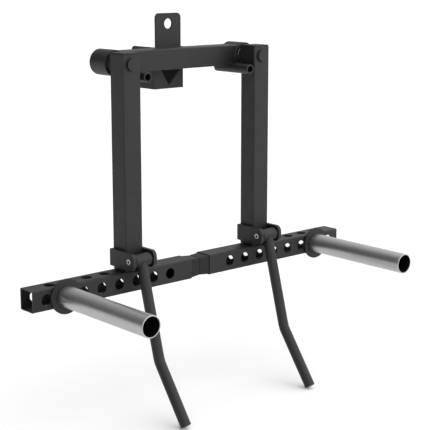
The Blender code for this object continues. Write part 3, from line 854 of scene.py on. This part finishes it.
def bar_path():
    """Centre line and radii of the bar, from the hinge down: two straight runs, one bend, a round end."""
    hinge, bend, end = (Vector((0.0, *point)) for point in ((HINGE_Y, HINGE_Z), BAR_BEND, BAR_END))
    upper, lower = (bend - hinge).normalized(), (end - bend).normalized()
    turn = upper.angle(lower)
    trim = BAR_BEND_RADIUS * math.tan(turn / 2)
    inward = (lower - upper * lower.dot(upper)).normalized()
    points = [hinge + upper * 0.006]
    for step in range(17):
        angle = turn * step / 16
        points.append(bend - upper * trim + upper * (BAR_BEND_RADIUS * math.sin(angle))
                      + inward * (BAR_BEND_RADIUS * (1 - math.cos(angle))))
    radii = [BAR_RADIUS] * len(points)
    for back, cut in BAR_END_ROUNDING:
        points.append(end - lower * back)
        radii.append(BAR_RADIUS - cut)
    return points, radii


def build_handle(label):
    """Hinge barrel, and the bent bar welded to it."""
    node = f"{label}_handle_barrel"
    low, high, mid = span(node)
    hinge = (HINGE_Y, HINGE_Z)
    radius = (high.y - low.y) / 2
    ring = rounded_ring(BARREL_BORE, radius, low.x, high.x, 0.0007)
    detail(node, turned("X", hinge, ring, True))
    points, radii = bar_path()
    points = [point + Vector((mid.x, 0.0, 0.0)) for point in points]
    saddle = prism("X", circle(radius - 0.0001, 64, hinge), mid.x - 0.03, mid.x + 0.03)
    detail(f"{label}_handle_bar", swept(points, radii), cuts=[saddle])

    down = (points[1] - points[0]).normalized()
    across = Vector((0.0, down.z, -down.y))
    center = Vector((mid.x, *hinge))
    seam = []
    for k in range(48):
        a = 2 * math.pi * k / 48
        depth = math.sqrt(radius ** 2 - (BAR_RADIUS * math.sin(a)) ** 2)
        seam.append(center + Vector((BAR_RADIUS * math.cos(a), 0.0, 0.0))
                    + across * (BAR_RADIUS * math.sin(a)) + down * depth)
    add_piece(f"{label}_bar_weld", weld_bead(seam, BAR_BEAD, closed=True), "powder_coat", f"{label}_handle")


# ---------------------------------------------------------------- stage

def build_floor():
    """Pale floor under the handle bars' ends."""
    floor_z = cad_bounds[0][2]
    corners = ((-FLOOR_HALF, -FLOOR_HALF), (FLOOR_HALF, -FLOOR_HALF),
               (FLOOR_HALF, FLOOR_HALF), (-FLOOR_HALF, FLOOR_HALF))
    bm = bmesh.new()
    bm.faces.new([bm.verts.new((x, y, floor_z)) for x, y in corners])
    floor = new_object("floor", bm)
    floor.data.materials.append(floor_paint())


def build_light():
    """Soft sky, bright at the front right and dark at the back left, and two wide, weak suns."""
    world = bpy.data.worlds.new("studio")
    world.use_nodes = True
    bpy.context.scene.world = world
    tree = world.node_tree
    background = tree.nodes["Background"]
    direction = tree.nodes.new("ShaderNodeTexCoord").outputs["Generated"]
    dot = tree.nodes.new("ShaderNodeVectorMath")
    dot.operation = "DOT_PRODUCT"
    dot.inputs[1].default_value = Vector(SKY_TOWARDS).normalized()
    tree.links.new(direction, dot.inputs[0])
    level = link_range(tree, dot.outputs["Value"], SKY_SPREAD, (0.0, 1.0))
    sky = link_mix(tree, level, (SKY_DARK,) * 3, (SKY_BRIGHT,) * 3)
    axes = tree.nodes.new("ShaderNodeSeparateXYZ")
    tree.links.new(direction, axes.inputs["Vector"])
    height = link_math(tree, "ABSOLUTE", axes.outputs["Z"], 0.0)
    band = link_range(tree, height, HORIZON, (1.0, 0.0))
    tree.links.new(link_mix(tree, band, sky, (1.0, 1.0, 1.0)), background.inputs["Color"])

    for name, energy, angle, towards in SUNS:
        light = bpy.data.lights.new(name, "SUN")
        light.energy = energy
        light.angle = math.radians(angle)
        lamp = bpy.data.objects.new(name, light)
        lamp.rotation_euler = Vector(towards).to_track_quat("Z", "Y").to_euler()
        bpy.context.scene.collection.objects.link(lamp)


def build_camera():
    """Camera far off at the front left, a little higher than the object, looking slightly down."""
    azimuth, elevation = math.radians(CAMERA_AZIMUTH), math.radians(CAMERA_ELEVATION)
    back = Vector((math.sin(azimuth) * math.cos(elevation), -math.cos(azimuth) * math.cos(elevation),
                   math.sin(elevation)))
    camera = bpy.data.cameras.new("camera")
    camera.sensor_width = 36.0
    camera.lens = CAMERA_LENS
    camera.clip_start, camera.clip_end = 0.05, 200.0
    viewer = bpy.data.objects.new("camera", camera)
    viewer.location = Vector(CAMERA_TARGET) + back * CAMERA_DISTANCE
    viewer.rotation_euler = back.to_track_quat("Z", "Y").to_euler()
    scene = bpy.context.scene
    scene.collection.objects.link(viewer)
    scene.camera = viewer
    scene.view_settings.view_transform = "Standard"


build_beam()
build_bracket()
for side, label in SIDES:
    build_pivot_mount(label)
    build_pivot_shaft(label)
    build_arm(label)
    build_crossbar_half(side, label)
    build_sleeve(label)
    build_clevis(label)
    build_handle(label)
build_floor()
build_light()
build_camera()
